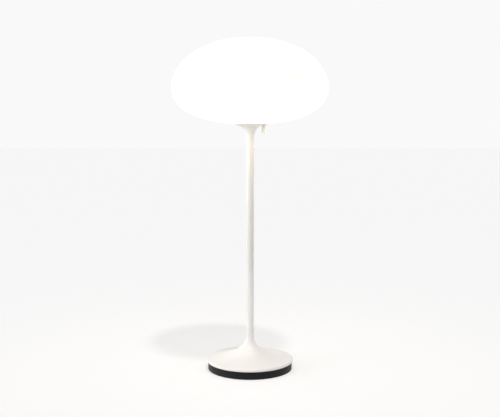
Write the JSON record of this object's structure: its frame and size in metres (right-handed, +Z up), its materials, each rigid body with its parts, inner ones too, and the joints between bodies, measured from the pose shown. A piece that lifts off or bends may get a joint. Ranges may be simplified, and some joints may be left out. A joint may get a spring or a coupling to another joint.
{
  "type": "mushroom floor lamp",
  "caption": "Floor lamp with a broad squashed opal glass shade on a trumpet collar, a slim straight stem, a weighted trumpet base with a black band, and a turn switch under the shade.",
  "frame": {"origin": "on the floor, under the middle of the base", "axes": "+Z up along the stem, +X towards the switch knob, +Y towards the cord inlet at the back"},
  "size_m": [0.5, 0.5, 1.077],
  "materials": {
    "opal_glass": "blown opal glass, satin smooth, ground flat at the mouth",
    "cream_paint": "semi-matt cream white powder coat",
    "band_rubber": "satin black moulded rubber band",
    "foot_felt": "dense black wool felt",
    "plate_steel": "zinc plated sheet steel",
    "ballast_iron": "rough cast iron, primed",
    "zinc_steel": "zinc plated steel fasteners and pipe",
    "spigot_aluminium": "turned aluminium",
    "contact_brass": "bare brass",
    "clear_silicone": "dark translucent silicone gasket",
    "holder_phenolic": "black phenolic moulding",
    "holder_ceramic": "unglazed white steatite",
    "white_nylon": "white moulded nylon",
    "grommet_rubber": "black soft rubber",
    "bulb_metal": "nickel plated shell",
    "bulb_glass_black": "black vitrite insulator",
    "bulb_housing": "white moulded housing",
    "bulb_opal": "opal moulded globe",
    "circuit_board": "glass fibre circuit board",
    "flex_sheath": "white sheathed flex",
    "earth_wire": "green and yellow insulation",
    "lead_wire": "brown insulation"
  },
  "bodies": {
    "stand": {"foot_pad": "foot_felt", "bottom_plate": "plate_steel", "bottom_plate_screws": "zinc_steel", "base_band": "band_rubber", "base_weight": "ballast_iron", "base_cover": "cream_paint", "cord_grommet": "grommet_rubber", "cord_clamp": "white_nylon", "cord_clamp_screws": "zinc_steel", "terminal_block": "white_nylon", "terminal_inserts": "contact_brass", "terminal_screws": "zinc_steel", "terminal_block_screws": "zinc_steel", "earth_tag": "contact_brass", "earth_screw": "zinc_steel", "earth_lead": "earth_wire", "tie_pipe": "zinc_steel", "tie_washer_lower": "zinc_steel", "tie_nut_lower": "zinc_steel", "stem_spigot_lower": "spigot_aluminium", "stem_tube": "cream_paint", "stem_spigot_upper": "spigot_aluminium", "collar": "cream_paint", "tie_washer_upper": "zinc_steel", "tie_nut_upper": "zinc_steel", "mains_flex": "flex_sheath", "shade_ring": "spigot_aluminium", "shade_gasket": "clear_silicone", "holder_cap": "holder_phenolic", "holder_lock_nut": "zinc_steel", "holder_core": "holder_ceramic", "holder_terminals": "contact_brass", "holder_screw_shell": "contact_brass", "holder_contact": "contact_brass", "holder_skirt": "holder_phenolic", "switch_body": "holder_phenolic", "switch_tags": "contact_brass", "switch_nut": "zinc_steel", "switch_leads": "lead_wire"},
    "bulb": {"bulb_tip": "bulb_metal", "bulb_insulator": "bulb_glass_black", "bulb_cap": "bulb_metal", "bulb_body": "bulb_housing", "bulb_driver": "circuit_board", "bulb_board": "circuit_board", "bulb_globe": "bulb_opal"},
    "knob": {"knob_shaft": "zinc_steel", "switch_knob": "cream_paint", "knob_screw": "zinc_steel"},
    "shade": {"shade_glass": "opal_glass"}
  },
  "joints": [
    {"name": "knob_turn", "type": "hinge", "parent": "stand", "child": "knob", "pos_m": [0.044, 0, 0.784], "axis": [0, 0, -1], "range_deg": [0, 270]},
    {"name": "shade_lift", "type": "slide", "parent": "stand", "child": "shade", "axis": [0, 0, 1], "range_m": [0, 0.18]},
    {"name": "bulb_out", "type": "slide", "parent": "stand", "child": "bulb", "axis": [0, 0, 1], "range_m": [0, 0.03]}
  ]
}
